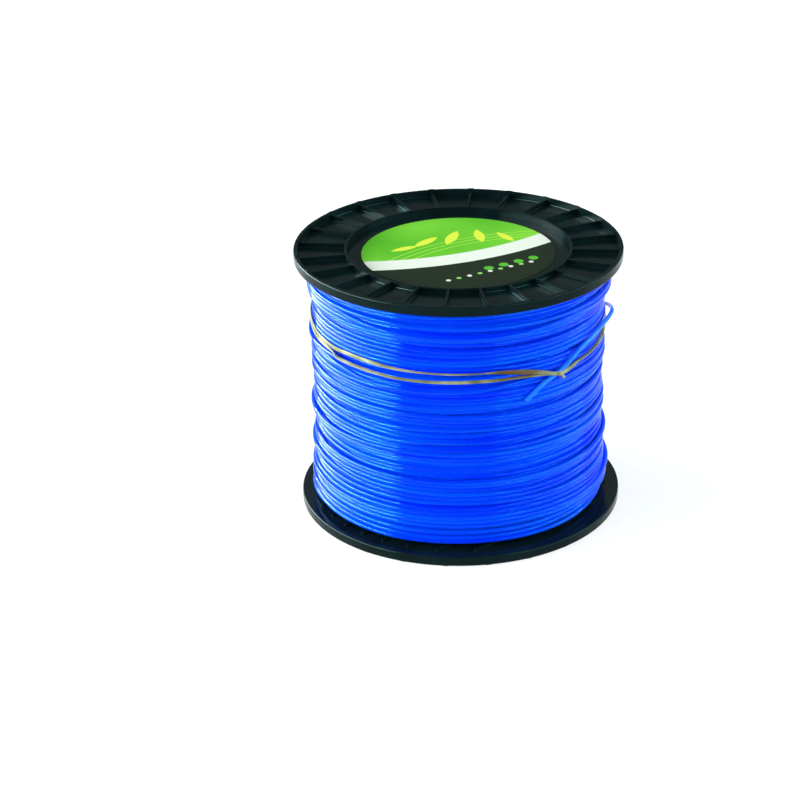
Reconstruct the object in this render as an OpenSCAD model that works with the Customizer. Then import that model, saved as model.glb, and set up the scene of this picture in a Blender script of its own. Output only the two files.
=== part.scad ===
// Bulk spool of brush-cutter line: two ribbed flange mouldings on a barrel,
// a wound pack of round nylon line, a rubber band that holds the cut end
// and a printed disc label. Sizes in millimetres.

/* [Spool] */
// Diameter of each flange
flange_d = 200; // [194:1:206]
// Clear width between the two flanges
winding_w = 155; // [146:1:164]
// Outside diameter of the barrel
barrel_d = 138; // [130:1:144]
// Wall of the barrel
barrel_wall = 2.2; // [1.8:0.1:3]
// Turn of the top flange about the axis, degrees
top_turn = 10.1; // [0:0.1:15]
// Turn of the bottom flange about the axis, degrees
bottom_turn = 39.4; // [30:0.1:45]

/* [Flange] */
// Height of the rim above the winding face
rim_h = 6; // [5.4:0.1:7]
// Thickness of the rim wall
rim_wall = 2.4; // [2:0.1:3]
// Round on the rim's edges
rim_round = 0.9; // [0.6:0.05:1]
// Thickness of the flange plate at the pocket floors
plate_t = 1.6; // [1.2:0.1:2]
// Number of radial ribs
rib_count = 24; // [12:6:30]
// Thickness of a radial rib
rib_t = 1.3; // [1:0.1:1.8]
// Depth of the inner ring's top below the rim's top
ring_drop = 1.2; // [0.8:0.1:1.8]
// Depth of the rib tops below the inner ring's top
rib_step = 0.1; // [0.1:0.05:0.4]
// Thickness of the inner ring
ring_wall = 1.4; // [1.1:0.1:1.8]
// Radius of the fillet where ribs and walls meet the pocket floor
foot_r = 0.5; // [0.3:0.1:0.8]
// Height of the small seat pad on the rim at each rib
pad_h = 0.4; // [0.3:0.05:0.8]
// Width of a seat pad along the rim
pad_w = 3.6; // [2.4:0.2:5]

/* [Winding face] */
// Number of parallel stiffening ridges on the winding face
ridge_count = 13; // [7:2:13]
// Spacing of the ridges
ridge_pitch = 15.15; // [12:0.05:15.2]
// Width of a ridge
ridge_w = 2.5; // [1.8:0.1:3.4]
// Height of a ridge
ridge_h = 1; // [0.6:0.1:1.3]
// Distance from the rim's edge to the ends of the ridges
ridge_inset = 8; // [6:0.5:10]

/* [Well] */
// Depth of the well floor below the rim's top
well_depth = 5.45; // [5:0.05:6]
// Step of the barrel's seat below the winding face
seat_step = 1.65; // [1.4:0.05:2.4]
// Length of the collar that centres the barrel
collar_l = 10; // [6:0.5:14]
// Wall of the collar
collar_wall = 2.2; // [1.6:0.1:3]
// Diameter of the arbor hole
bore_d = 20; // [16:0.5:25.5]
// Length of the arbor hole's boss below the well floor
boss_l = 12.6; // [8:0.2:16]
// Wall of the arbor boss
boss_wall = 3; // [2:0.1:4]
// Clearance between the collar and the barrel
collar_gap = 0.3; // [0.2:0.05:0.4]

/* [Line] */
// Diameter of the line
line_d = 2.7; // [2:0.1:3]
// Depth of the wound line on the barrel at mid height
wound_depth = 20.8; // [18:0.1:21.6]
// Rise of the winding's radius toward the flanges
end_rise = 2.2; // [0:0.1:2.6]
// Number of laps in the outer layer
laps = 23; // [12:1:23]
// Least gap kept between the line and what it lies beside
line_gap = 0.35; // [0.3:0.05:0.5]

/* [Rubber band] */
// Width of the band's strand
band_w = 2.4; // [1.6:0.1:2.8]
// Thickness of the band's strand
band_t = 1.2; // [0.8:0.1:1.4]

/* [Label] */
// Diameter of the disc label
label_d = 118; // [100:1:120]
// Thickness of the label
label_t = 0.25; // [0.2:0.05:0.4]

/* [Hidden] */

// A cut or a joint of solids runs this far past the face it meets
over = 0.4;
round_fn = 96;

// Radii from the axis
flange_r = flange_d / 2;
rim_in_r = flange_r - rim_wall;
barrel_r = barrel_d / 2;
barrel_in_r = barrel_r - barrel_wall;
ring_r = barrel_r + 0.3;
ring_in_r = ring_r - ring_wall;
collar_r = barrel_in_r - collar_gap;
collar_in_r = collar_r - collar_wall;
bore_r = bore_d / 2;
boss_r = bore_r + boss_wall;
ridge_end_r = flange_r - ridge_inset;

// Heights in a flange's own frame: 0 is its winding face, + is outward
ring_top = rim_h - ring_drop;
rib_top = ring_top - rib_step;
web_top = rim_h - well_depth;
web_bottom = -seat_step;

// Heights in the spool's frame: 0 is the seat of the lower pads
low_face = pad_h + rim_h;
high_face = low_face + winding_w;
mid_z = low_face + winding_w / 2;

// The winding: radius of the outer layer's centreline at a height
line_r = line_d / 2;
turn_r0 = barrel_r + wound_depth - line_r;
low_turn_z = low_face + ridge_h + line_gap + line_r;
high_turn_z = high_face - ridge_h - line_gap - line_r;
function rise_at(z) = end_rise * pow(abs(z - mid_z) / (winding_w / 2), 4);
function turn_r(z) = turn_r0 + rise_at(z);

// A lap has this many rings; its chords dip inward by lap_dip
lap_rings = 24;
lap_dip = turn_r0 * (1 - cos(180 / lap_rings));
core_r = turn_r0 - lap_dip - line_r - 0.3;
core_in_r = barrel_r + 0.3;
core_low = low_face + ridge_h + 0.2;
core_high = high_face - ridge_h - 0.2;

// Azimuths in degrees, 0 along +X; the line is wound clockwise from above
wind_end_az = 200;
wind_start_az = wind_end_az + 360 * laps;
join_az = 14;

// Height of a point of the free line or the band, from the winding's middle
function at_level(h) = mid_z + h;

// ------------------------------------------------------------------ sweeps

function unit(v) = v / norm(v);
function polar(a, r, z) = [r * cos(a), r * sin(a), z];
function place(p) = polar(p[0], p[1], p[2]);

// Smooth curve through points, n steps from each point to the next
function blend(p0, p1, p2, p3, t) =
    0.5 * (2 * p1 + (p2 - p0) * t
        + (2 * p0 - 5 * p1 + 4 * p2 - p3) * t * t
        + (3 * p1 - p0 - 3 * p2 + p3) * t * t * t);
function curve(keys, n) = let (last = len(keys) - 1)
    [for (i = [0:last - 1], s = [0:n - 1])
        blend(keys[max(i - 1, 0)], keys[i], keys[i + 1], keys[min(i + 2, last)], s / n),
     keys[last]];

// Direction of a centreline at point i, open or closed
function heading(c, i, closed) = let (n = len(c))
    closed ? unit(c[(i + 1) % n] - c[(i + n - 1) % n])
           : unit(c[min(i + 1, n - 1)] - c[max(i - 1, 0)]);

// Ring of points round the centreline: one axis points away from the spool's
// axis, the other lies along the winding's surface
function ring_at(c, i, closed, across, through, sides) = let (
    t = heading(c, i, closed),
    out = [c[i][0], c[i][1], 0],
    n = unit(out - (out * t) * t),
    b = cross(t, n))
    [for (k = [0:sides - 1]) let (a = 360 * (k + 0.5) / sides)
        c[i] + through * cos(a) * n + across * sin(a) * b];

// One unbroken tube along a centreline, every face a triangle
module tube(c, across, through, sides, closed = false) {
    n = len(c);
    spans = closed ? n : n - 1;
    points = [for (i = [0:n - 1]) each ring_at(c, i, closed, across, through, sides)];
    walls = [for (i = [0:spans - 1], k = [0:sides - 1]) let (
        a = i * sides + k,
        b = i * sides + (k + 1) % sides,
        d = ((i + 1) % n) * sides + k,
        e = ((i + 1) % n) * sides + (k + 1) % sides)
        each [[a, d, b], [b, d, e]]];
    last = (n - 1) * sides;
    ends = closed ? [] : [for (k = [1:sides - 2])
        each [[0, k, k + 1], [last, last + k + 1, last + k]]];
    polyhedron(points = points, faces = concat(walls, ends));
}

// ------------------------------------------------------- routes of the line

// Outer layer: one helix from the lower flange to the upper one
function lap_point(i) = let (
    f = i / (laps * lap_rings),
    z = low_turn_z + f * (high_turn_z - low_turn_z))
    [wind_start_az - 360 * i / lap_rings, turn_r(z), z];
helix = [for (i = [0:laps * lap_rings]) lap_point(i)];

// The last half lap crosses down over the layer behind the spool
over_r = line_d + line_gap + 0.4;
function above_turns(a, h) = [a, turn_r(at_level(h)) + over_r, at_level(h)];
half_gap = winding_w / 2 - ridge_h - line_gap - line_r;
cross_keys = [
    [wind_end_az, turn_r(high_turn_z), high_turn_z],
    [190, turn_r(high_turn_z) + over_r * 0.45, high_turn_z - 0.2],
    above_turns(178, half_gap - 0.9),
    above_turns(150, 66),
    above_turns(120, 54),
    above_turns(90, 44),
    above_turns(64, 37),
    above_turns(40, 33),
    [26, turn_r0 + 4.1, at_level(32.4)],
    [join_az, turn_r0 + 4.7, at_level(34.4)]
];

// The free end: out past the right side, over the band, a low arch across the
// front, then down under the band to the square cut
tail_keys = [
    [join_az, turn_r0 + 4.7, at_level(34.4)],
    [8, turn_r0 + 4.9, at_level(37.4)],
    [2, turn_r0 + 5, at_level(40.2)],
    [-4, turn_r0 + 5.2, at_level(42.4)],
    [-8, turn_r0 + 5.2, at_level(43.5)],
    [-12, turn_r0 + 4.9, at_level(44)],
    [-16, turn_r0 + 4.4, at_level(44.2)],
    [-20, turn_r0 + 3.8, at_level(44)],
    [-25, turn_r0 + 3.5, at_level(43.5)],
    [-30, turn_r0 + 3.4, at_level(42.6)],
    [-38.4, turn_r0 + 3.4, at_level(39.5)],
    [-44, turn_r0 + 3.4, at_level(35.5)],
    [-47.6, turn_r0 + 3.4, at_level(32.2)],
    [-52, turn_r0 + 3.4, at_level(29.2)],
    [-57, turn_r0 + 3.4, at_level(26.2)],
    [-61, turn_r0 + 3.4, at_level(22.3)],
    [-65, turn_r0 + 3.4, at_level(17.2)]
];

// Both free stretches meet square, straight for a little over one diameter
join_p = place(tail_keys[0]);
join_dir = unit(place(tail_keys[1]) - place(tail_keys[0]));
straight_l = 1.1 * line_d;
start_az = wind_start_az % 360;
start_p = place(helix[0]);
start_dir = [sin(start_az), -cos(start_az), 0];
cross_line = [for (p = curve(cross_keys, 3)) place(p)];
outer_line = concat(
    [start_p, start_p + straight_l * start_dir],
    [for (i = [1:len(helix) - 2]) place(helix[i])],
    [for (i = [0:len(cross_line) - 3]) cross_line[i]],
    [join_p - straight_l * join_dir, join_p]);
tail_curve = [for (p = curve(tail_keys, 2)) place(p)];
tail_line = concat(
    [join_p, join_p + straight_l * join_dir],
    [for (i = [1:len(tail_curve) - 1]) tail_curve[i]]);

// Least clear gap of the outer layer to itself, measured on its points and
// the middles of its chords, one full ring of points apart or more
function midpoints(c) = [for (i = [0:len(c) - 2]) each [c[i], (c[i] + c[i + 1]) / 2]];
self_pts = midpoints(outer_line);
self_gap = min([for (i = [0:len(self_pts) - 20]) min([for (k = [i + 14:len(self_pts) - 1])
    norm(self_pts[i] - self_pts[k])])]) - line_d;

// ------------------------------------------------------------- rubber band

// Middle of the two strands at an azimuth: [azimuth, radius, level, half
// spacing, twist]. One closed loop goes round twice, and the strands change
// places once in each lap, which the twist of 180 degrees makes.
band_seat = turn_r0 + line_r + 0.3 + band_t / 2 + 0.3;
tail_top = turn_r0 + 3.4 + line_r + 0.5 + band_t / 2;
band_keys = [
    [0, band_seat, 36, 1.5, 0],
    [-8, band_seat, 35.6, 1.45, 12],
    [-16, band_seat + 0.9, 35, 1.05, 75],
    [-24, band_seat + 1, 33.9, 1, 90],
    [-32, band_seat + 1, 32.7, 1, 90],
    [-39, band_seat + 1.2, 31.4, 1.1, 110],
    [-45, tail_top, 30, 1.5, 160],
    [-51, tail_top + 0.3, 29.9, 1.5, 180],
    [-57, tail_top - 0.3, 31.4, 1.5, 180],
    [-63, band_seat + 0.8, 33, 1.7, 180],
    [-70, band_seat, 34.4, 2.1, 180],
    [-82, band_seat, 35.1, 2.4, 180],
    [-96, band_seat, 35.2, 2.4, 180],
    [-112, band_seat, 35.4, 2.6, 180],
    [-126, band_seat, 36.2, 2.6, 180],
    [-138, band_seat, 36.8, 2.4, 180],
    [-145, band_seat, 37.4, 1.8, 180],
    [-152, band_seat, 38.3, 1.5, 180],
    [-162, band_seat, 39.4, 1.5, 180],
    [-174, band_seat, 41.8, 1.5, 180],
    [-190, band_seat, 44, 1.6, 180],
    [-215, band_seat, 45.8, 1.6, 180],
    [-244, band_seat, 46, 1.6, 180],
    [-252, band_seat + 2.6, 45.9, 1.6, 180],
    [-259, band_seat + 3.5, 45.6, 1.6, 180],
    [-276, band_seat + 3.5, 44.6, 1.6, 180],
    [-284, band_seat + 2.6, 43.9, 1.6, 180],
    [-293, band_seat, 43, 1.6, 180],
    [-318, band_seat, 40.4, 1.6, 180],
    [-344, band_seat, 37.2, 1.5, 180],
    [-360, band_seat, 36, 1.5, 180]
];
function strand(k, side) = let (turn = k[4] + side)
    polar(k[0], k[1] - k[3] * sin(turn), at_level(k[2]) + k[3] * cos(turn));
band_lap = curve(band_keys, 3);
function lap_of(side) = [for (i = [0:len(band_lap) - 2]) strand(band_lap[i], side)];
band_line = concat(lap_of(0), lap_of(180));

// ------------------------------------------------------------------ pieces

// Solid ring about the axis
module ring_solid(r_out, r_in, low, high) {
    rotate_extrude($fn = round_fn)
        translate([r_in, low])
            square([r_out - r_in, high - low]);
}

// Rim: plain inside, its three free edges rounded
module rim() {
    rotate_extrude($fn = round_fn)
        union() {
            translate([rim_in_r, 0])
                square([rim_wall - rim_round, rim_h]);
            translate([rim_in_r, rim_round])
                square([rim_wall, rim_h - 2 * rim_round]);
            for (z = [rim_round, rim_h - rim_round])
                translate([flange_r - rim_round, z])
                    circle(r = rim_round, $fn = 32);
        }
}

// Fillet ring between a wall and the pocket floor: side 1 faces outward
module foot_fillet(r, side) {
    rotate_extrude($fn = round_fn)
        translate([r, plate_t - 0.01])
            polygon([
                [-0.01 * side, 0],
                [side * foot_r, 0],
                [side * foot_r * 0.3, foot_r * 0.3],
                [-0.01 * side, foot_r]
            ]);
}

// Radial rib from the inner ring to the rim, with a wider foot
module rib() {
    from = ring_r - ring_wall / 2;
    to = rim_in_r + rim_wall / 2;
    translate([from, -rib_t / 2, plate_t - over])
        cube([to - from, rib_t, rib_top - plate_t + over]);
    translate([from, 0, plate_t])
        rotate([90, 0, 90])
            linear_extrude(to - from)
                polygon([
                    [-rib_t / 2 - foot_r, -0.01],
                    [rib_t / 2 + foot_r, -0.01],
                    [rib_t / 2, foot_r],
                    [-rib_t / 2, foot_r]
                ]);
}

// Low pad on the rim that the spool stands on
module pad() {
    flat = rim_wall - rim_round;
    translate([rim_in_r + 0.1, -pad_w / 2, rim_h - over])
        cube([flat - 0.2, pad_w, pad_h + over]);
}

// Straight ridge with round ends
module ridge(offset) {
    half = sqrt(pow(ridge_end_r, 2) - pow(offset, 2)) - ridge_w / 2;
    translate([0, offset, -ridge_h]) {
        translate([-half, -ridge_w / 2, 0])
            cube([2 * half, ridge_w, ridge_h + over]);
        for (x = [-half, half])
            translate([x, 0, 0])
                cylinder(h = ridge_h + over, d = ridge_w, $fn = 24);
    }
}

module ridges() {
    half_count = (ridge_count - 1) / 2;
    difference() {
        for (i = [-half_count:half_count])
            if (abs(i * ridge_pitch) < ridge_end_r - ridge_w / 2)
                ridge(i * ridge_pitch);
        translate([0, 0, -ridge_h - over])
            cylinder(h = ridge_h + 3 * over, r = barrel_r - ring_wall / 3, $fn = round_fn);
    }
}

// Floor of the well with the collar and the arbor boss
module well() {
    difference() {
        union() {
            ring_solid(barrel_r, 0, web_bottom, web_top);
            ring_solid(collar_r, collar_in_r, -collar_l, web_bottom + over);
            ring_solid(boss_r, 0, web_bottom - boss_l, web_bottom + over);
        }
        translate([0, 0, web_bottom - boss_l - over])
            cylinder(h = boss_l + web_top - web_bottom + 2 * over, r = bore_r, $fn = round_fn);
    }
}

// One flange moulding, its outer side up, its winding face at z = 0
module flange() {
    rim();
    ring_solid(rim_in_r + rim_wall / 3, ring_r - ring_wall / 3, 0, plate_t);
    ring_solid(ring_r, ring_in_r, 0, ring_top);
    foot_fillet(ring_r, 1);
    foot_fillet(rim_in_r, -1);
    for (i = [0:rib_count - 1])
        rotate(i * 360 / rib_count) {
            rib();
            pad();
        }
    ridges();
    well();
}

module top_flange() {
    color([0.06, 0.12, 0.14])
        translate([0, 0, high_face])
            rotate(top_turn)
                flange();
}

module bottom_flange() {
    color([0.07, 0.13, 0.15])
        translate([0, 0, low_face])
            rotate(bottom_turn)
                rotate([180, 0, 0])
                    flange();
}

module barrel() {
    color([0.08, 0.14, 0.16])
        ring_solid(barrel_r, barrel_in_r, low_face + seat_step, high_face - seat_step);
}

// Ramp where the line climbs out of the inner layers into the outer one
module rise_ramp() {
    ramp_l = 24;
    top_r = turn_r(low_turn_z) + line_r;
    rotate(start_az)
        translate([0, 0, low_turn_z - line_r])
            linear_extrude(line_d)
                polygon([
                    [core_r - over, 0],
                    [top_r, 0],
                    [top_r - 0.6, ramp_l / 3],
                    [sqrt(pow(core_r, 2) - pow(ramp_l, 2)) - over, ramp_l]
                ]);
}

// Inner layers of the winding, as one ring
module line_core() {
    color([0.02, 0.12, 0.72])
        union() {
            ring_solid(core_r, core_in_r, core_low, core_high);
            rise_ramp();
        }
}

module line_outer_turns() {
    color([0.05, 0.2, 0.9])
        tube(outer_line, line_r, line_r, 6);
    echo(outer_layer_laps = laps, least_gap_mm = self_gap);
}

module line_tail() {
    color([0.1, 0.3, 0.95])
        tube(tail_line, line_r, line_r, 8);
}

module rubber_band() {
    color([0.75, 0.65, 0.42])
        tube(band_line, band_w / 2, band_t / 2, 6, closed = true);
}

module top_label() {
    color([0.3, 0.72, 0.2])
        ring_solid(label_d / 2, 0, high_face + web_top, high_face + web_top + label_t);
}

top_flange();
bottom_flange();
barrel();
line_core();
line_outer_turns();
line_tail();
rubber_band();
top_label();
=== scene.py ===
import math

import bpy
import numpy as np
from mathutils import Matrix, Vector


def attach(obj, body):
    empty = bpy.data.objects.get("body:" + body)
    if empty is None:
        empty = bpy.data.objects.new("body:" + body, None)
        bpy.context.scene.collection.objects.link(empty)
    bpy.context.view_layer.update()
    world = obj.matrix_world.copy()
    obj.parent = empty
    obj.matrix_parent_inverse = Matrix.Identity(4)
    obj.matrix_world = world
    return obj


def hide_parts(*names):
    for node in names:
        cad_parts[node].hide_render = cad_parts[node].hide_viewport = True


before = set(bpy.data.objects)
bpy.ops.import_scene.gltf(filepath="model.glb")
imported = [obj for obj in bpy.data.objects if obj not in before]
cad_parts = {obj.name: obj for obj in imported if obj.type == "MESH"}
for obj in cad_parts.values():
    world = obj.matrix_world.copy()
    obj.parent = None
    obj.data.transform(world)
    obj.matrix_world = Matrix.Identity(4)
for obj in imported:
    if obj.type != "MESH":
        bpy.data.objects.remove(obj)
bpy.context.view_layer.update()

# ---------------------------------------------------------------- real sizes
# Lengths are written in millimetres, as on the drawing, and turned to metres
# where a mesh is made.

MM = 0.001
PAD_H = 0.4  # seat pads under the lower rim
RIM_H = 6.0
WINDING_W = 155.0  # between the flanges' winding faces
LOW_FACE = PAD_H + RIM_H
HIGH_FACE = LOW_FACE + WINDING_W
MID_Z = LOW_FACE + WINDING_W / 2
BARREL_R = 69.0
WOUND_DEPTH = 20.8
RIDGE_H = 1.0  # ridges on the winding faces
LINE_D = 2.7
LINE_R = LINE_D / 2
TURN_R = BARREL_R + WOUND_DEPTH - LINE_R  # centreline of the outer turns
LINE_GAP = 0.35
OVER_R = LINE_D + LINE_GAP + 0.4  # a strand that lies on the outer turns
WELL_FLOOR = HIGH_FACE + 0.55
LABEL_R = 59.0
LABEL_T = 0.25

rng = np.random.default_rng(41)


# ------------------------------------------------------------------- helpers

def polar(azimuth, radius, z):
    """Points in space from azimuths in degrees, radii and heights."""
    a = np.radians(azimuth)
    return np.stack([radius * np.cos(a), radius * np.sin(a), z], -1)


def spline(keys, steps):
    """Smooth curve through the keys, steps points from each key to the next."""
    keys = np.asarray(keys, float)
    last = len(keys) - 1
    out = []
    for i in range(last):
        p0, p1 = keys[max(i - 1, 0)], keys[i]
        p2, p3 = keys[i + 1], keys[min(i + 2, last)]
        for s in range(steps):
            t = s / steps
            out.append(0.5 * (2 * p1 + (p2 - p0) * t
                              + (2 * p0 - 5 * p1 + 4 * p2 - p3) * t * t
                              + (3 * p1 - p0 - 3 * p2 + p3) * t ** 3))
    out.append(keys[last])
    return np.array(out)


def unit_rows(v):
    """Each row brought to length 1."""
    return v / np.linalg.norm(v, axis=1, keepdims=True)


def sweep(centre, section, closed=False, roll=None, scale=None):
    """Vertices and faces of a section carried along a centreline.

    The section's first axis points away from the spool's axis and its second
    lies along the winding's surface; roll turns it, scale sizes each ring.
    """
    n, k = len(centre), len(section)
    if closed:
        tangent = np.roll(centre, -1, 0) - np.roll(centre, 1, 0)
    else:
        tangent = np.gradient(centre, axis=0)
    tangent = unit_rows(tangent)
    out = centre * np.array([1.0, 1.0, 0.0])
    out -= (out * tangent).sum(1, keepdims=True) * tangent
    out = unit_rows(out)
    side = np.cross(tangent, out)
    if roll is not None:
        c, s = np.cos(roll)[:, None], np.sin(roll)[:, None]
        out, side = out * c + side * s, side * c - out * s
    size = np.ones(n) if scale is None else scale
    verts = (centre[:, None, :]
             + size[:, None, None] * (section[None, :, 0:1] * out[:, None, :]
                                      + section[None, :, 1:2] * side[:, None, :]))
    verts = verts.reshape(-1, 3)
    spans = n if closed else n - 1
    i = np.arange(spans)[:, None]
    j = np.arange(k)[None, :]
    a = i * k + j
    b = i * k + (j + 1) % k
    c2 = ((i + 1) % n) * k + (j + 1) % k
    d = ((i + 1) % n) * k + j
    faces = np.stack([a, b, c2, d], -1).reshape(-1, 4).tolist()
    if not closed:
        faces.append(list(range(k))[::-1])
        faces.append([(n - 1) * k + q for q in range(k)])
    return verts, faces


def round_section(radius, sides):
    """The round section of the line."""
    a = 2 * np.pi * (np.arange(sides) + 0.5) / sides
    return radius * np.stack([np.cos(a), np.sin(a)], 1)


def make_piece(name, verts, faces, material, slot, node=None, smooth=True):
    """A mesh object in the CAD frame that rides on the root body."""
    mesh = bpy.data.meshes.new(name)
    mesh.from_pydata((np.asarray(verts) * MM).tolist(), [], faces)
    mesh.validate()
    mesh.update()
    if smooth:
        mesh.shade_smooth()
    piece = bpy.data.objects.new(name, mesh)
    bpy.context.scene.collection.objects.link(piece)
    mesh.materials.append(material)
    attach(piece, "root")
    if node:
        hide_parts(node)
    return piece


# ----------------------------------------------------------------- materials

def srgb(code):
    """An sRGB hex colour as linear RGBA."""
    parts = [int(code[i:i + 2], 16) / 255 for i in (1, 3, 5)]
    return [p / 12.92 if p <= 0.04045 else ((p + 0.055) / 1.055) ** 2.4
            for p in parts] + [1.0]


def add_node(tree, kind, settings=None, inputs=None, links=None, stops=()):
    """Add a node, set its settings and inputs, and link other sockets in.

    stops are a colour ramp's: position and sRGB hex.
    """
    node = tree.nodes.new(kind)
    for key, value in (settings or {}).items():
        setattr(node, key, value)
    for key, value in (inputs or {}).items():
        node.inputs[key].default_value = value
    for key, socket in (links or {}).items():
        tree.links.new(socket, node.inputs[key])
    for _ in stops[2:]:
        node.color_ramp.elements.new(0.5)
    for number, (position, code) in enumerate(stops):
        element = node.color_ramp.elements[number]
        element.position = position
        element.color = srgb(code)
    return node


def new_material(name, shader_inputs):
    """A node material with one Principled shader; gives tree and shader."""
    material = bpy.data.materials.new(name)
    material.use_nodes = True
    tree = material.node_tree
    shader = tree.nodes["Principled BSDF"]
    for key, value in shader_inputs.items():
        shader.inputs[key].default_value = value
    return material, tree, shader


def moulded_polypropylene():
    """Black-green polypropylene, injection moulded in a polished tool: a
    dark, slightly wavy gloss that picks up the room, with fine sparkle."""
    material, tree, shader = new_material(
        "moulded_polypropylene",
        {"IOR": 1.49, "Roughness": 0.22, "Specular IOR Level": 0.09,
         "Specular Tint": srgb("#B4D6C4")})
    coords = add_node(tree, "ShaderNodeTexCoord")
    # Flow marks of the moulding, about 18 mm across
    flow = add_node(tree, "ShaderNodeTexNoise",
                    inputs={"Scale": 1 / (18 * MM), "Detail": 3.0},
                    links={"Vector": coords.outputs["Object"]})
    tint = add_node(tree, "ShaderNodeValToRGB", links={"Fac": flow.outputs["Fac"]},
                    stops=[(0.3, "#081416"), (0.7, "#0D1F21")])
    tree.links.new(tint.outputs["Color"], shader.inputs["Base Color"])
    rough = add_node(tree, "ShaderNodeMapRange",
                     inputs={"To Min": 0.14, "To Max": 0.25},
                     links={"Value": flow.outputs["Fac"]})
    tree.links.new(rough.outputs["Result"], shader.inputs["Roughness"])
    # Tool texture, 0.35 mm grain, over a sink of the wall 9 mm across
    sink = add_node(tree, "ShaderNodeTexNoise",
                    inputs={"Scale": 1 / (9 * MM), "Detail": 1.0},
                    links={"Vector": coords.outputs["Object"]})
    waves = add_node(tree, "ShaderNodeBump",
                     inputs={"Strength": 0.35, "Distance": 0.12 * MM},
                     links={"Height": sink.outputs["Fac"]})
    grain = add_node(tree, "ShaderNodeTexNoise",
                     inputs={"Scale": 1 / (0.35 * MM), "Detail": 2.0},
                     links={"Vector": coords.outputs["Object"]})
    bump = add_node(tree, "ShaderNodeBump",
                    inputs={"Strength": 0.12, "Distance": 0.02 * MM},
                    links={"Height": grain.outputs["Fac"],
                           "Normal": waves.outputs["Normal"]})
    tree.links.new(bump.outputs["Normal"], shader.inputs["Normal"])
    return material


def nylon_monofilament(name, shades, painted_light_shade=None):
    """Extruded nylon 6 line, dyed through: a smooth wet-looking gloss over a
    deep blue, with slow changes of shade along the line. Its dye lets light
    through at the strands' edges, which the cyan sheen stands for. Where a
    strand stands clear of the pack, a paler blue is painted in for the light
    it catches there (painted light): painted_light_shade, blended in from the
    back of the spool to its front."""
    material, tree, shader = new_material(
        name,
        {"IOR": 1.53, "Roughness": 0.08, "Specular IOR Level": 0.22,
         "Specular Tint": srgb("#5CE0FF"), "Sheen Weight": 0.27,
         "Sheen Roughness": 0.4, "Sheen Tint": srgb("#00F0FF")})
    coords = add_node(tree, "ShaderNodeTexCoord")
    # Shade drifts over 110 mm along the line and from lap to lap over 4 mm
    along = add_node(tree, "ShaderNodeMapping",
                     inputs={"Scale": (1 / (110 * MM), 1 / (110 * MM),
                                       1 / (4 * MM))},
                     links={"Vector": coords.outputs["Object"]})
    drift = add_node(tree, "ShaderNodeTexNoise",
                     inputs={"Scale": 1.0, "Detail": 1.0},
                     links={"Vector": along.outputs["Vector"]})
    tint = add_node(tree, "ShaderNodeValToRGB", links={"Fac": drift.outputs["Fac"]},
                    stops=[(0.35, shades[0]), (0.65, shades[1])])
    colour = tint.outputs["Color"]
    # Painted light: the free strand is painted paler towards the spool's front, for
    # the light it catches clear of the pack
    if painted_light_shade:
        place = add_node(tree, "ShaderNodeSeparateXYZ",
                         links={"Vector": coords.outputs["Object"]})
        share = add_node(tree, "ShaderNodeMapRange",
                         inputs={"From Min": 22 * MM, "From Max": -25 * MM},
                         links={"Value": place.outputs["Y"]})
        blend = add_node(tree, "ShaderNodeMix", {"data_type": "RGBA"},
                         {"B": srgb(painted_light_shade)},
                         {"Factor": share.outputs["Result"], "A": colour})
        colour = blend.outputs["Result"]
    tree.links.new(colour, shader.inputs["Base Color"])
    # Faint draw marks, 0.8 mm
    marks = add_node(tree, "ShaderNodeTexNoise",
                     inputs={"Scale": 1 / (0.8 * MM), "Detail": 2.0},
                     links={"Vector": coords.outputs["Object"]})
    rough = add_node(tree, "ShaderNodeMapRange",
                     inputs={"To Min": 0.06, "To Max": 0.1},
                     links={"Value": marks.outputs["Fac"]})
    tree.links.new(rough.outputs["Result"], shader.inputs["Roughness"])
    return material


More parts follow.
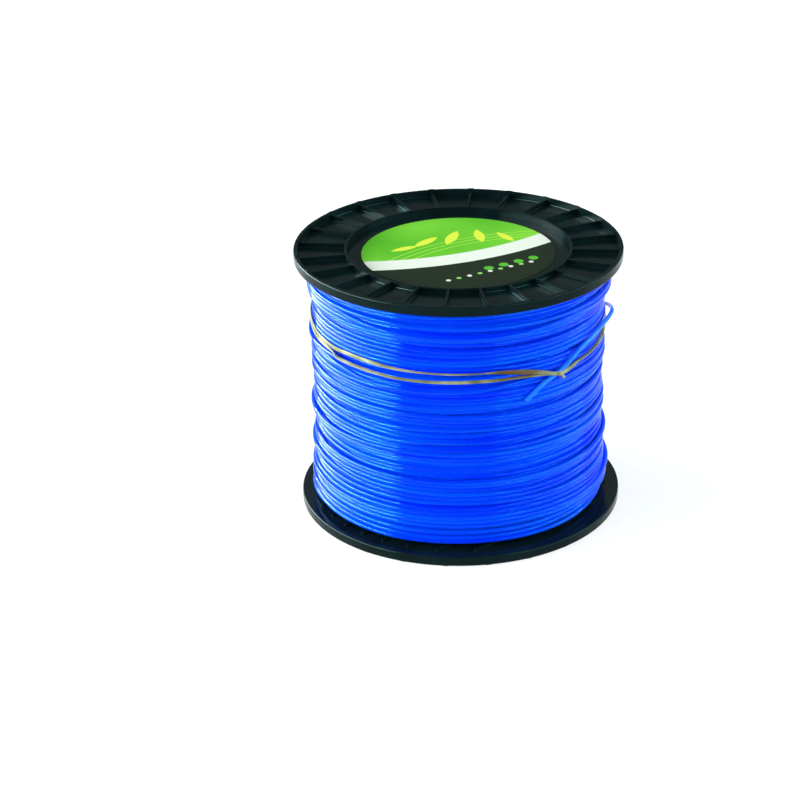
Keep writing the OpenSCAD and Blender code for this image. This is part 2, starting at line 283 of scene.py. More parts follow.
def natural_rubber():
    """Cut natural rubber: dull tan, slightly olive, with painted shade in brown
    on the strip left of the knot, and the fine chatter of the cutting knife."""
    material, tree, shader = new_material(
        "natural_rubber",
        {"IOR": 1.52, "Roughness": 0.55, "Specular IOR Level": 0.2,
         "Subsurface Weight": 0.15,
         "Subsurface Radius": (0.6, 0.35, 0.15), "Subsurface Scale": 1 * MM})
    coords = add_node(tree, "ShaderNodeTexCoord")
    # Blotches of stretched rubber, about 14 mm long
    blotch = add_node(tree, "ShaderNodeTexNoise",
                      inputs={"Scale": 1 / (14 * MM), "Detail": 3.0},
                      links={"Vector": coords.outputs["Object"]})
    tint = add_node(tree, "ShaderNodeValToRGB", links={"Fac": blotch.outputs["Fac"]},
                    stops=[(0.36, "#6E6C3C"), (0.5, "#8E8E5E"), (0.64, "#B0AC86")])
    # Painted shade: brown painted on the strip left of the knot, where its face
    # lies in shade: full within 12 mm along the strip, gone by 22 mm, and a
    # quarter of that across it
    lower = add_node(tree, "ShaderNodeVectorMath", {"operation": "MULTIPLY"},
                     {1: (1.0, 1.0, 4.0)}, {0: coords.outputs["Object"]})
    painted_shade_at = polar(-67, 91.0, (MID_Z + 36.4) * 4.0) * MM
    gap = add_node(tree, "ShaderNodeVectorMath", {"operation": "DISTANCE"},
                   {1: tuple(painted_shade_at)}, {0: lower.outputs["Vector"]})
    painted_shade_share = add_node(tree, "ShaderNodeMapRange",
                     inputs={"From Min": 12 * MM, "From Max": 22 * MM,
                             "To Min": 0.95, "To Max": 0.0},
                     links={"Value": gap.outputs["Value"]})
    mixed = add_node(tree, "ShaderNodeMix", {"data_type": "RGBA"},
                     {"B": srgb("#66461A")},
                     {"Factor": painted_shade_share.outputs["Result"],
                      "A": tint.outputs["Color"]})
    tree.links.new(mixed.outputs["Result"], shader.inputs["Base Color"])
    chatter = add_node(tree, "ShaderNodeTexNoise",
                       inputs={"Scale": 1 / (0.5 * MM), "Detail": 2.0},
                       links={"Vector": coords.outputs["Object"]})
    bump = add_node(tree, "ShaderNodeBump",
                    inputs={"Strength": 0.4, "Distance": 0.1 * MM},
                    links={"Height": chatter.outputs["Fac"]})
    tree.links.new(bump.outputs["Normal"], shader.inputs["Normal"])
    return material


def inked_disc(tree, point, centre, radius):
    """1 inside a circle on the label, 0 outside, its ink edge 0.2 mm soft."""
    gap = add_node(tree, "ShaderNodeVectorMath", {"operation": "DISTANCE"},
                   {1: (centre[0] * MM, centre[1] * MM,
                        (WELL_FLOOR + LABEL_T) * MM)},
                   {0: point})
    edge = add_node(tree, "ShaderNodeMapRange",
                    inputs={"From Min": (radius - 0.1) * MM,
                            "From Max": (radius + 0.1) * MM,
                            "To Min": 1.0, "To Max": 0.0},
                    links={"Value": gap.outputs["Value"]})
    return edge.outputs["Result"]


def printed_paper():
    """Coated paper label printed in green, white, olive black and lime: flat
    inks with a soft sheen. Bands, leaves and dots only, no lettering."""
    material, tree, shader = new_material(
        "printed_paper",
        {"IOR": 1.45, "Roughness": 0.6, "Specular IOR Level": 0.01})
    coords = add_node(tree, "ShaderNodeTexCoord")
    point = coords.outputs["Object"]
    # Green field, its shade drifting across the disc
    drift = add_node(tree, "ShaderNodeTexNoise",
                     inputs={"Scale": 1 / (60 * MM), "Detail": 1.0},
                     links={"Vector": point})
    field = add_node(tree, "ShaderNodeValToRGB", links={"Fac": drift.outputs["Fac"]},
                     stops=[(0.25, "#52AE2A"), (0.75, "#86D844")])
    # Each ink is a disc, the overlap of two discs (a leaf) or a ring
    inks = []
    for step in range(3):
        inks.append(("ring", (58, -92), 118 + 4.6 * step, 117.2 + 4.6 * step,
                     "#A6DC4E"))
    # Leaves: middle, turn in degrees and the radius of the two discs
    for cx, cy, turn, size in ((-33, 6, 28, 17), (-20, 17, 50, 20),
                               (-4, 24, 74, 22), (13, 27, 100, 20),
                               (29, 25, 124, 17)):
        a = math.radians(turn)
        away = (-size * 0.84 * math.sin(a), size * 0.84 * math.cos(a))
        inks.append(("leaf", (cx + away[0], cy + away[1]), size,
                     (cx - away[0], cy - away[1]), "#D8E64A"))
    inks.append(("outside", (-62, 148), 163, None, "#E4E8E0"))
    inks.append(("outside", (-62, 148), 178, None, "#283026"))
    for k in range(9):
        inks.append(("disc", (-6 + 6.2 * k, -46 + 3.6 * k), 1.5, None,
                     "#8FD36B" if k % 2 else "#E4E8E0"))
    for k in range(4):
        inks.append(("disc", (18 + 9 * k, -27 + 5.4 * k), 3.0, None, "#58B43C"))
    colour = field.outputs["Color"]
    for form, centre, radius, other, code in inks:
        mask = inked_disc(tree, point, centre, radius)
        if form == "leaf":
            second = inked_disc(tree, point, other, radius)
            mask = add_node(tree, "ShaderNodeMath", {"operation": "MULTIPLY"},
                            links={0: mask, 1: second}).outputs[0]
        elif form == "ring":
            hole = inked_disc(tree, point, centre, other)
            mask = add_node(tree, "ShaderNodeMath", {"operation": "SUBTRACT"},
                            links={0: mask, 1: hole}).outputs[0]
        elif form == "outside":
            mask = add_node(tree, "ShaderNodeMath", {"operation": "SUBTRACT"},
                            {0: 1.0}, {1: mask}).outputs[0]
        layer = add_node(tree, "ShaderNodeMix", {"data_type": "RGBA"},
                         {"B": srgb(code)}, {"Factor": mask, "A": colour})
        colour = layer.outputs["Result"]
    tree.links.new(colour, shader.inputs["Base Color"])
    # Paper tooth, 0.4 mm
    tooth = add_node(tree, "ShaderNodeTexNoise",
                     inputs={"Scale": 1 / (0.4 * MM), "Detail": 2.0},
                     links={"Vector": point})
    bump = add_node(tree, "ShaderNodeBump",
                    inputs={"Strength": 0.08, "Distance": 0.02 * MM},
                    links={"Height": tooth.outputs["Fac"]})
    tree.links.new(bump.outputs["Normal"], shader.inputs["Normal"])
    return material


POLYPROPYLENE = moulded_polypropylene()
NYLON = nylon_monofilament("nylon_monofilament", ("#0022FA", "#0048FF"))
# The free end is this nylon painted paler, for the light it catches (painted light)
NYLON_FREE_PAINTED_PALER = nylon_monofilament("nylon_single_strand_painted_paler", ("#0022FA", "#0048FF"),
                                painted_light_shade="#2078FF")
RUBBER = natural_rubber()
PAPER = printed_paper()


# -------------------------------------------------------------------- camera

FRAME_PX = 800
FOCAL_PX = 2167.7
AXIS_PX = (459.38, 351.37)  # where the view's axis meets the frame
SENSOR_W = 36.0
EYE = (0.0, -1.2265, 0.6407 + PAD_H * MM)
PITCH = math.radians(23.96)
ROLL = math.radians(-0.525)
forward = Vector((0, math.cos(PITCH), -math.sin(PITCH)))
right0 = Vector((1, 0, 0))
up0 = right0.cross(forward)
right = math.cos(ROLL) * right0 + math.sin(ROLL) * up0
up = -math.sin(ROLL) * right0 + math.cos(ROLL) * up0
camera_data = bpy.data.cameras.new("camera")
camera_data.sensor_width = SENSOR_W
camera_data.lens = FOCAL_PX / FRAME_PX * SENSOR_W
camera_data.shift_x = (FRAME_PX / 2 - AXIS_PX[0]) / FRAME_PX
camera_data.shift_y = (AXIS_PX[1] - FRAME_PX / 2) / FRAME_PX
camera_data.clip_start = 0.05
camera_data.clip_end = 50.0
camera = bpy.data.objects.new("camera", camera_data)
camera.matrix_world = Matrix((
    (right.x, up.x, -forward.x, EYE[0]),
    (right.y, up.y, -forward.y, EYE[1]),
    (right.z, up.z, -forward.z, EYE[2]),
    (0, 0, 0, 1)))
bpy.context.scene.collection.objects.link(camera)
bpy.context.scene.camera = camera


# ------------------------------------------------------- the line's free end

FLARE = 2.2  # the pack swells by this much at the flanges


def above_turns(azimuth, level):
    """A point on the outer turns: azimuth, radius and height."""
    z = MID_Z + level
    swell = FLARE * (abs(z - MID_Z) / (WINDING_W / 2)) ** 4
    return [azimuth, TURN_R + swell + OVER_R, z]


JOIN_AZ = 14
# The free end's route: azimuth, radius and height
TAIL_KEYS = [
    [JOIN_AZ, TURN_R + 4.7, MID_Z + 34.4],
    [8, TURN_R + 4.9, MID_Z + 37.4],
    [2, TURN_R + 5, MID_Z + 40.2],
    [-4, TURN_R + 5.2, MID_Z + 42.4],
    [-8, TURN_R + 5.2, MID_Z + 43.5],
    [-12, TURN_R + 4.9, MID_Z + 44],
    [-16, TURN_R + 4.4, MID_Z + 44.2],
    [-20, TURN_R + 3.8, MID_Z + 44],
    [-25, TURN_R + 3.5, MID_Z + 43.5],
    [-30, TURN_R + 3.4, MID_Z + 42.6],
    [-38.4, TURN_R + 3.4, MID_Z + 39.5],
    [-44, TURN_R + 3.4, MID_Z + 35.5],
    [-47.6, TURN_R + 3.4, MID_Z + 32.2],
    [-52, TURN_R + 3.4, MID_Z + 29.2],
    [-57, TURN_R + 3.4, MID_Z + 26.2],
    [-61, TURN_R + 3.4, MID_Z + 22.3],
    [-65, TURN_R + 3.4, MID_Z + 17.2],
]
tail_centre = polar(*spline(TAIL_KEYS, 6).T)
join_point = tail_centre[0]
join_heading = polar(*TAIL_KEYS[1]) - join_point
join_heading /= np.linalg.norm(join_heading)
TAIL_SIDES = 16
tail_verts, tail_faces = sweep(tail_centre, round_section(LINE_R, TAIL_SIDES))
# The cut end is slanted: its upper side runs on a little further
END_SLANT = 0.45
end_heading = tail_centre[-1] - tail_centre[-2]
end_heading /= np.linalg.norm(end_heading)
end_lean = (tail_verts[-TAIL_SIDES:] - tail_centre[-1])[:, 2:] * END_SLANT
tail_verts[-TAIL_SIDES:] += end_lean * end_heading
tail = make_piece("line_free_end", tail_verts, tail_faces, NYLON_FREE_PAINTED_PALER,
                  "nylon_line", node="line_tail")


# -------------------------------------------------------------- wound layers

# Centreline radius of the outer layer by height, on the left and the right
LEFT_PROFILE = [(7, 90.8), (33, 90.7), (40, 89.6), (53, 88.9), (61, 89.9),
                (67, 90.7), (76, 89.0), (82, 88.2), (91, 89.1), (99, 90.2),
                (104, 89.3), (117, 90.3), (125, 88.7), (136, 88.1), (143, 90.0),
                (149, 91.2), (159, 91.0)]
RIGHT_PROFILE = [(7, 91.0), (24, 90.7), (31, 89.5), (37, 88.5), (52, 88.1),
                 (64, 87.5), (79, 87.2), (91, 86.3), (100, 87.6), (109, 88.3),
                 (118, 87.7), (131, 87.0), (139, 88.7), (145, 90.6), (159, 91.2)]

# How far the lowest laps sink in at the lower flange, by azimuth
SHOULDER = [(-180, 0.6), (-156, 1.0), (-132, 1.9), (-120, 3.2), (-105, 4.8),
            (-90, 6.0), (-75, 5.4), (-60, 4.6), (-45, 5.1), (-28, 5.4), (-12, 4.6),
            (20, 3.4), (90, 2.0), (180, 0.6)]
SHOULDER_TOP = LOW_FACE + 19.5  # where the sinking in starts
SHOULDER_H = 17.0


def half_turn(azimuth):
    """The same azimuth between -180 and 180 degrees."""
    return np.mod(azimuth + 180.0, 360.0) - 180.0


def layer_radius(z, azimuth):
    """Radius of the outer layer's centreline where nothing lifts it."""
    left = np.interp(z, *np.array(LEFT_PROFILE).T)
    right_side = np.interp(z, *np.array(RIGHT_PROFILE).T)
    share = 0.5 - 0.5 * np.cos(np.radians(azimuth))
    sink = np.interp(half_turn(azimuth), *np.array(SHOULDER).T)
    near = np.clip((SHOULDER_TOP - z) / SHOULDER_H, 0, 1)
    return left * share + right_side * (1 - share) - sink * near ** 1.6


def smooth_along(values, width):
    """Gaussian smoothing along the line, ends held."""
    reach = int(3 * width)
    kernel = np.exp(-0.5 * (np.arange(-reach, reach + 1) / width) ** 2)
    kernel /= kernel.sum()
    flat = values.reshape(-1)
    padded = np.concatenate([np.full(reach, flat[0]), flat,
                             np.full(reach, flat[-1])])
    return np.convolve(padded, kernel, "valid").reshape(values.shape)


LAPS = 48
PER_LAP = 144
RING = 360.0 / PER_LAP  # degrees from one ring of the sweep to the next
START_AZ = 200.0
# Spacing of neighbouring laps, in line diameters
PRESSED = 0.95  # never closer than this
GATHERED = 0.97  # laps nearer than CLOSE are drawn to this
CLOSE = 1.3
WIDEST = 1.75  # no gap wider than this


def lap_noise(reach, strength):
    """Smooth random wander along the line; reach is in degrees."""
    rings = reach / RING
    wander = smooth_along(rng.normal(size=(LAPS, PER_LAP)), rings)
    return wander * strength * math.sqrt(2 * rings * math.sqrt(math.pi))


# Laps that ride over a neighbour: lap, start and span in degrees, laps crossed
CLIMBS = [(4, 128, 112, 1.0), (9, 315, 128, 1.0), (14, 45, 135, -1.0),
          (20, 230, 90, 1.0), (27, 30, 110, 1.0), (33, 262, 90, -1.0),
          (40, 20, 120, 1.0), (44, 240, 105, -1.0)]


def lay_outer_layer():
    """Azimuth, radius and height of every ring of the outer layer.

    The laps lie side by side with a little slack that wanders, so they gather
    in groups with gaps between; here and there one climbs over the next.
    """
    low = LOW_FACE + RIDGE_H + LINE_GAP + LINE_R
    high = HIGH_FACE - RIDGE_H - LINE_GAP - LINE_R
    total = LAPS * PER_LAP
    z = low + (high - low) * np.arange(total).reshape(LAPS, PER_LAP) / total
    z = z + lap_noise(80, 3.0)
    # Neighbours settle against one another, and the stiff strand evens out
    for step in range(120):
        gap = z[1:] - z[:-1]
        near = np.where(gap < LINE_D * CLOSE,
                        np.clip(gap - LINE_D * GATHERED, 0, None), 0)
        push = (np.clip(LINE_D * PRESSED - gap, 0, None) / 2 - near * 0.3
                - np.clip(gap - LINE_D * WIDEST, 0, None) / 2)
        z[1:] += push
        z[:-1] -= push
        z = np.clip(z, low, high)
        if step % 4 == 0 and step < 100:
            z = smooth_along(z, 11 / RING)
    z = smooth_along(z, 8 / RING)
    azimuth = START_AZ + RING * (total - np.arange(total)).reshape(LAPS, PER_LAP)
    radius = layer_radius(z, azimuth) + lap_noise(60, 0.6)
    flat_z, flat_r = z.reshape(-1), radius.reshape(-1)
    # The upper lap of a crossing rises and the one below it is pressed in
    for lap, start, span, crossed in CLIMBS:
        rings = int(span / RING)
        i = lap * PER_LAP + int(start / RING) + np.arange(rings)
        i = i[i < total]
        t = (i - i[0]) / rings
        lift = np.clip(np.minimum(t, 1 - t) * 3.2, 0, 1)
        lift = lift * lift * (3 - 2 * lift)
        flat_z[i] += lift * crossed * LINE_D * 1.1
        for other in (-3, -2, -1, 1, 2, 3):
            j = i + other * PER_LAP
            ok = (j >= 0) & (j < total)
            a, b = i[ok], j[ok]
            apart = np.clip(np.abs(flat_z[a] - flat_z[b]) / LINE_D, 0, 1)
            short = np.clip(LINE_D * np.sqrt(1 - apart ** 2)
                            - (flat_r[a] - flat_r[b]), 0, None)
            share = lift[ok]
            flat_r[a] += 0.4 * short * share
            flat_r[b] -= 0.6 * short * share
    flat_r = smooth_along(flat_r, 6 / RING)
    # The first lap comes up from the layer beneath over 40 degrees
    rings = int(40 / RING)
    flat_r[:rings] -= LINE_D * 1.3 * (1 - np.arange(rings) / rings) ** 2
    return np.stack([azimuth.reshape(-1), flat_r, np.clip(flat_z, low, high)], 1)


lay = lay_outer_layer()
# From the last lap over the pack to the free end: azimuth, radius and height
CROSS_KEYS = [
    list(lay[-1]),
    [190, lay[-1, 1] + OVER_R * 0.5, lay[-1, 2] - 0.2],
    [178, lay[-1, 1] + OVER_R, lay[-1, 2] - 1.0],
    above_turns(150, 66),
    above_turns(120, 54),
    above_turns(90, 44),
    above_turns(64, 37),
    above_turns(40, 33),
    [26, TURN_R + 4.1, MID_Z + 32.4],
    [JOIN_AZ, TURN_R + 4.7, MID_Z + 34.4],
]
cross_over = spline(CROSS_KEYS, 7)
outer_centre = polar(*np.concatenate([lay[:-1], cross_over]).T)
# It meets the free end on the free end's own heading
outer_centre[-1] = join_point
outer_centre[-2] = join_point - join_heading * 2.6
make_piece("line_outer_winding", *sweep(outer_centre, round_section(LINE_R, 12)),
           NYLON, "nylon_line", node="line_outer_turns")

# The layer beneath shows in the gaps: an even winding on a solid pack
INNER_LAPS = 54
INNER_RING = 5.0
inner_n = INNER_LAPS * int(360 / INNER_RING)
inner_z = np.linspace(LOW_FACE + RIDGE_H + 1.5, HIGH_FACE - RIDGE_H - 1.5, inner_n)
inner_az = np.arange(inner_n) * INNER_RING
inner_r = layer_radius(inner_z, inner_az) - LINE_D
inner_turns = sweep(polar(inner_az, inner_r, inner_z), round_section(LINE_R, 8))
# The pack's section: radius and height, clear of the flanges' ridges
PACK_IN = BARREL_R + 0.3
PACK_LOW = LOW_FACE + 1.3
PACK_HIGH = HIGH_FACE - 1.3
PACK_PROFILE = [(PACK_IN, PACK_LOW), (81.0, PACK_LOW), (82.0, LOW_FACE + 4),
                (84.8, LOW_FACE + 20), (84.0, MID_Z), (84.2, HIGH_FACE - 20),
                (87.6, HIGH_FACE - 3), (86.6, PACK_HIGH), (PACK_IN, PACK_HIGH)]
PACK_SIDES = 120
pack_az = np.arange(PACK_SIDES) * 360 / PACK_SIDES
pack_verts = np.concatenate([polar(pack_az, r, np.full(PACK_SIDES, z))
                             for r, z in PACK_PROFILE])
pack_faces = []
for row in range(len(PACK_PROFILE)):
    a0 = row * PACK_SIDES
    b0 = (row + 1) % len(PACK_PROFILE) * PACK_SIDES
    for k in range(PACK_SIDES):
        n = (k + 1) % PACK_SIDES
        pack_faces.append([a0 + k, a0 + n, b0 + n, b0 + k])


def join_parts(parts):
    """Several (vertices, faces) as one."""
    faces, base = [], 0
    for verts, part_faces in parts:
        faces += [[base + q for q in face] for face in part_faces]
        base += len(verts)
    return np.concatenate([verts for verts, _ in parts]), faces


make_piece("line_inner_layers", *join_parts([inner_turns, (pack_verts, pack_faces)]),
           NYLON, "nylon_line", node="line_core")


# --------------------------------------------------------------- rubber band

BAND_T = 1.0
BAND_W = 2.4
# Middle of the two strands: azimuth, rise above the layer and level; half
# their spacing and the turn of one about the other; roll of each, and width
# of each as a share of BAND_W
BAND_KEYS = [
    [0, 0.1, 35.2, 0.5, 0, 60, 60, 0.6, 0.6],
    [-8, 0.1, 34.3, 0.45, 40, 70, 60, 0.6, 0.6],
    [-16, 0.3, 33.4, 0.4, 80, 80, 70, 0.55, 0.55],
    [-24, 0.4, 32.3, 0.4, 90, 80, 80, 0.55, 0.55],
    [-32, 0.4, 31.4, 0.45, 95, 80, 80, 0.6, 0.6],
    [-36.5, 0.6, 31.0, 0.5, 110, 75, 75, 0.6, 0.6],
    [-41, 1.2, 30.5, 0.8, 160, 50, 60, 0.65, 0.65],
    [-45, 2.4, 29.9, 0.6, 180, 60, 60, 0.6, 0.6],
    [-49, 3.4, 29.5, 0.4, 190, 70, 50, 0.6, 0.65],
    [-53, 3.4, 30.3, 0.45, 185, 75, 40, 0.65, 0.75],
    [-57, 2.0, 31.8, 0.7, 180, 75, 20, 0.65, 1.0],
    [-62, 0.5, 32.9, 1.25, 180, 70, 10, 0.7, 1.25],
    [-69, 0, 34.2, 1.7, 180, 65, -15, 0.8, 1.35],
    [-76, 0, 34.9, 2.25, 180, 60, -40, 0.85, 1.15],
    [-83, 0, 35.2, 2.3, 180, 60, -75, 0.9, 0.85],
    [-90, 0, 35.2, 2.3, 180, 60, -88, 0.9, 0.8],
    [-104, 0, 35.3, 2.5, 180, 68, -92, 0.85, 0.8],
    [-116, 0, 35.7, 2.6, 180, 68, -112, 0.85, 0.9],
    [-127, 0, 36.5, 2.6, 180, 62, -150, 0.85, 0.95],
    [-136, 0, 36.8, 2.5, 180, 50, -178, 0.9, 1.0],
    [-141, 0, 36.8, 2.2, 180, 85, -185, 0.9, 1.0],
    [-144.5, 0, 37.4, 1.5, 180, 140, -185, 1.0, 1.0],
    [-152, 0, 38.2, 1.25, 180, 170, -180, 1.15, 0.95],
    [-160, 0, 38.8, 1.2, 180, 175, -180, 1.1, 0.9],
    [-170, 0, 41.0, 1.3, 180, 180, -180, 0.9, 0.9],
    [-190, 0, 43.8, 1.5, 180, 180, -180, 0.85, 0.85],
    [-215, 0, 45.8, 1.6, 180, 180, -180, 0.8, 0.8],
    [-244, 0.6, 46.0, 1.6, 180, 180, -180, 0.8, 0.8],
    [-252, 3.2, 45.9, 1.6, 180, 180, -180, 0.8, 0.8],
    [-259, 4.1, 45.6, 1.6, 180, 180, -180, 0.8, 0.8],
    [-276, 4.1, 44.6, 1.6, 180, 180, -180, 0.8, 0.8],
    [-284, 3.0, 43.9, 1.6, 180, 180, -180, 0.8, 0.8],
    [-293, 0.4, 43.0, 1.6, 180, 180, -180, 0.8, 0.8],
    [-318, 0, 40.2, 1.4, 180, 180, -180, 0.75, 0.75],
    [-344, 0, 36.6, 0.8, 180, 200, -160, 0.65, 0.65],
    [-360, 0.1, 35.2, 0.5, 180, 240, -120, 0.6, 0.6],
]
band_lap = spline(BAND_KEYS, 8)[:-1]


def layer_top(azimuth, z):
    """Outside of the wound layer near a point, laps and bumps included."""
    turn = np.abs(half_turn(lay[:, 0] - azimuth))
    drop = np.abs(lay[:, 2] - z)
    near = lay[(turn < 4.0) & (drop < 3.2)]
    # 0.7 mm of the strip's own width bears on each side
    drop = np.clip(np.abs(near[:, 2] - z) - 0.7, 0, None)
    crown = np.sqrt(np.clip(LINE_R ** 2 - drop ** 2, 0, None))
    return float((near[:, 1] + crown).max())


def stretched_over(tops):
    """The taut strip touches the bumps and bridges what lies between them."""
    count = len(tops)
    reach = np.arange(-3, 4)
    around = np.array([tops[(k + reach) % count].max() for k in range(count)])
    return np.array([around[(k + reach) % count].mean() for k in range(count)])


# The loop runs round twice; the second lap is the pair's other strand
band_loop = [(key, side) for side in (0, 180) for key in band_lap]
band_levels = [MID_Z + key[2] + key[3] * math.cos(math.radians(key[4] + side))
               for key, side in band_loop]
band_tops = stretched_over(np.array([layer_top(key[0], level) for (key, _), level
                                     in zip(band_loop, band_levels)]))
band_centre, band_roll, band_width = [], [], []
for (key, side), level, top in zip(band_loop, band_levels, band_tops):
    azimuth, rise, _, spacing, twist, *rolls_widths = key
    strand = 1 if side else 0
    inward = spacing * math.sin(math.radians(twist + side))
    band_centre.append(polar(azimuth, top + BAND_T / 2 + rise - inward, level))
    band_roll.append(math.radians(rolls_widths[strand]))
    band_width.append(rolls_widths[2 + strand])


def flat_section(width, thickness, sides=14):
    """Cut rubber strip: a flat section with softly worn corners."""
    a = 2 * np.pi * (np.arange(sides) + 0.5) / sides
    c, s = np.cos(a), np.sin(a)
    return np.stack([np.sign(c) * np.abs(c) ** 0.6 * thickness / 2,
                     np.sign(s) * np.abs(s) ** 0.6 * width / 2], 1)


# The strip, then the knot: turns of it round both strands, and its cut ends
rubber_parts = [sweep(np.array(band_centre), flat_section(BAND_W, BAND_T),
                      closed=True, roll=np.array(band_roll),
                      scale=np.array(band_width))]
KNOT_AZ = -50.5
knot_i = int(np.argmin(np.abs(band_lap[:, 0] - KNOT_AZ)))
knot_at = (band_centre[knot_i] + band_centre[knot_i + len(band_lap)]) / 2
knot_out = polar(KNOT_AZ, 1.0, 0.0)
knot_up = np.array([0.4 * knot_out[1], -0.4 * knot_out[0], 0.917])
knot_side = np.cross(knot_out, knot_up)


def knot_point(side, up_by, out_by):
    """A point by the knot: along the strands, up and away from the pack."""
    return knot_at + knot_side * side + knot_up * up_by + knot_out * out_by


for shift, tilt in ((-0.6, 0.5), (0.7, -0.45)):
    wrap = [knot_point(shift + tilt * math.sin(a), 1.15 * math.sin(a),
                       0.95 * math.cos(a))
            for a in np.radians(np.arange(0, 360, 18))]
    rubber_parts.append(sweep(np.array(wrap), flat_section(1.3, 0.8), closed=True))
for route in ([(0.2, -0.4, 0.9), (0.1, -1.3, 1.3), (0.0, -2.3, 1.2),
               (-0.3, -3.3, 1.0)],
              [(0.8, 0.2, 0.9), (1.6, 0.9, 1.2), (2.4, 1.5, 1.0)]):
    end = spline([knot_point(*q) for q in route], 4)
    rubber_parts.append(sweep(end, flat_section(1.7, BAND_T),
                              scale=np.linspace(0.7, 1.25, len(end))))
make_piece("rubber_band_loop", *join_parts(rubber_parts), RUBBER, "rubber",
           node="rubber_band")


# --------------------------------------------------------------------- label

# The disc's edge, its corners worn: radius and height above the well floor
LABEL_EDGE = [(LABEL_R - 0.2, 0.0), (LABEL_R, 0.06),
              (LABEL_R, LABEL_T - 0.06), (LABEL_R - 0.15, LABEL_T)]
LABEL_SIDES = 160
label_verts = [[0, 0, WELL_FLOOR]]
for r, h in LABEL_EDGE:
    for k in range(LABEL_SIDES):
        label_verts.append(polar(k * 360 / LABEL_SIDES, r, WELL_FLOOR + h))
label_verts.append([0, 0, WELL_FLOOR + LABEL_T])
label_faces = []
for k in range(LABEL_SIDES):
    n = (k + 1) % LABEL_SIDES
    label_faces.append([0, 1 + n, 1 + k])
    for q in range(len(LABEL_EDGE) - 1):
        a0 = 1 + q * LABEL_SIDES
        b0 = a0 + LABEL_SIDES
        label_faces.append([a0 + k, a0 + n, b0 + n, b0 + k])
    label_faces.append([b0 + k, b0 + n, len(label_verts) - 1])
make_piece("disc_label", label_verts, label_faces, PAPER, "label_paper",
           node="top_label", smooth=False)


# ------------------------------------------------------------ spool plastics

for node_name in ("top_flange", "bottom_flange", "barrel"):
    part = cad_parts[node_name]
    objects = part if isinstance(part, (list, tuple)) else [part]
    for obj in objects:
        obj.data.materials.clear()
        obj.data.materials.append(POLYPROPYLENE)


# -------------------------------------------------------------------- studio

GLOW = 0.7  # brings floor and room up to white
WALL_GLOW = 0.12
FLOOR_SIZE = 30.0


def studio_floor():
    """Pale floor: white to the eye and in reflections, with a soft shadow."""
    material, tree, shader = new_material(
        "studio_paper", {"Roughness": 0.9, "Base Color": srgb("#A0A0A0"),
                         "Emission Color": (1, 1, 1, 1)})
    path = add_node(tree, "ShaderNodeLightPath")
    seen = add_node(tree, "ShaderNodeMath", {"operation": "MAXIMUM"},
                    links={0: path.outputs["Is Camera Ray"],
                           1: path.outputs["Is Glossy Ray"]})
    seen = add_node(tree, "ShaderNodeMath", {"operation": "MAXIMUM"},
                    links={0: seen.outputs[0],
                           1: path.outputs["Is Transmission Ray"]})
    glow = add_node(tree, "ShaderNodeMath", {"operation": "MULTIPLY"},
                    {1: GLOW}, {0: seen.outputs[0]})
    tree.links.new(glow.outputs[0], shader.inputs["Emission Strength"])
    mesh = bpy.data.meshes.new("floor")
    s = FLOOR_SIZE
    mesh.from_pydata([(-s, -s, 0), (s, -s, 0), (s, s, 0), (-s, s, 0)], [],
                     [(0, 1, 2, 3)])
    mesh.materials.append(material)
    floor = bpy.data.objects.new("floor", mesh)
    bpy.context.scene.collection.objects.link(floor)


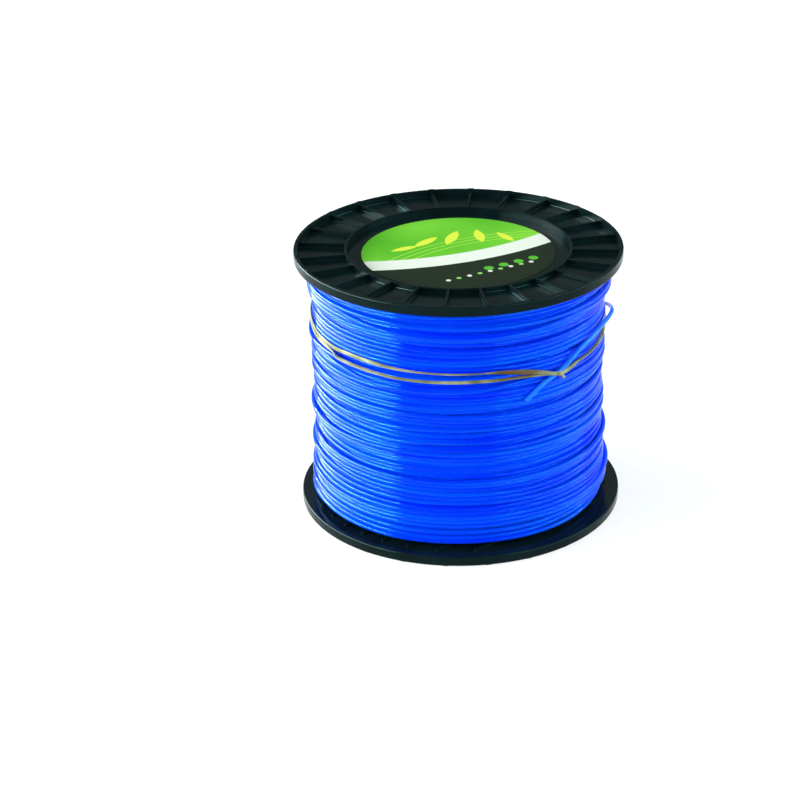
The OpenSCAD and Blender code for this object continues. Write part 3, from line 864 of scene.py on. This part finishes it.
def studio_world():
    """Pale room whose far wall is dark up to about 25 degrees."""
    world = bpy.data.worlds.new("studio")
    world.use_nodes = True
    tree = world.node_tree
    background = tree.nodes["Background"]
    background.inputs["Color"].default_value = srgb("#ECFAF4")
    coords = add_node(tree, "ShaderNodeTexCoord")
    split = add_node(tree, "ShaderNodeSeparateXYZ",
                     links={"Vector": coords.outputs["Generated"]})
    behind = add_node(tree, "ShaderNodeMapRange",
                      inputs={"From Min": 0.72, "From Max": 0.86},
                      links={"Value": split.outputs["Y"]})
    below = add_node(tree, "ShaderNodeMapRange",
                     inputs={"From Min": 0.36, "From Max": 0.48,
                             "To Min": 1.0, "To Max": 0.0},
                     links={"Value": split.outputs["Z"]})
    wall = add_node(tree, "ShaderNodeMath", {"operation": "MULTIPLY"},
                    links={0: behind.outputs["Result"], 1: below.outputs["Result"]})
    strength = add_node(tree, "ShaderNodeMapRange",
                        inputs={"To Min": GLOW, "To Max": WALL_GLOW},
                        links={"Value": wall.outputs[0]})
    tree.links.new(strength.outputs["Result"], background.inputs["Strength"])
    bpy.context.scene.world = world


def soft_box(name, place, target, size, power, colour=(1, 1, 1), role="lamp"):
    """An area lamp that faces its target. A lamp lights and isn't mirrored;
    a card is mirrored and adds no light."""
    data = bpy.data.lights.new(name, "AREA")
    data.shape = "RECTANGLE"
    data.size, data.size_y = size
    data.energy = power
    data.color = colour
    lamp = bpy.data.objects.new(name, data)
    lamp.location = place
    aim = Vector(target) - Vector(place)
    lamp.rotation_euler = aim.to_track_quat("-Z", "Y").to_euler()
    lamp.visible_diffuse = role == "lamp"
    lamp.visible_glossy = role == "card"
    lamp.visible_camera = False
    bpy.context.scene.collection.objects.link(lamp)


studio_floor()
studio_world()
soft_box("box_left", place=(-3.6, 0.0, 1.05), target=(0, 0, 0.1),
         size=(6.3, 1.08), power=310)
soft_box("box_right", place=(3.0, -1.0, 0.9), target=(0, -1.0, 0.1),
         size=(6.0, 1.6), power=115)
# Cards stand nearer than the lamps, so that no lamp hides them
soft_box("card_left", place=(-1.545, 0.573, 0.62), target=(0.155, 1.053, 0.1),
         size=(3.3, 0.46), power=250, colour=(0.85, 0.98, 1.0), role="card")
soft_box("card_left_wide", place=(-2.7, 0.3, 1.54), target=(0, 0.3, 0.1),
         size=(5.7, 2.0), power=300, colour=(0.45, 0.93, 1.0), role="card")
soft_box("card_right", place=(1.9, -0.26, 0.7), target=(0.37, 0.93, 0.1),
         size=(3.4, 0.6), power=100, colour=(0.35, 0.9, 1.0), role="card")

bpy.context.scene.view_settings.view_transform = "Standard"
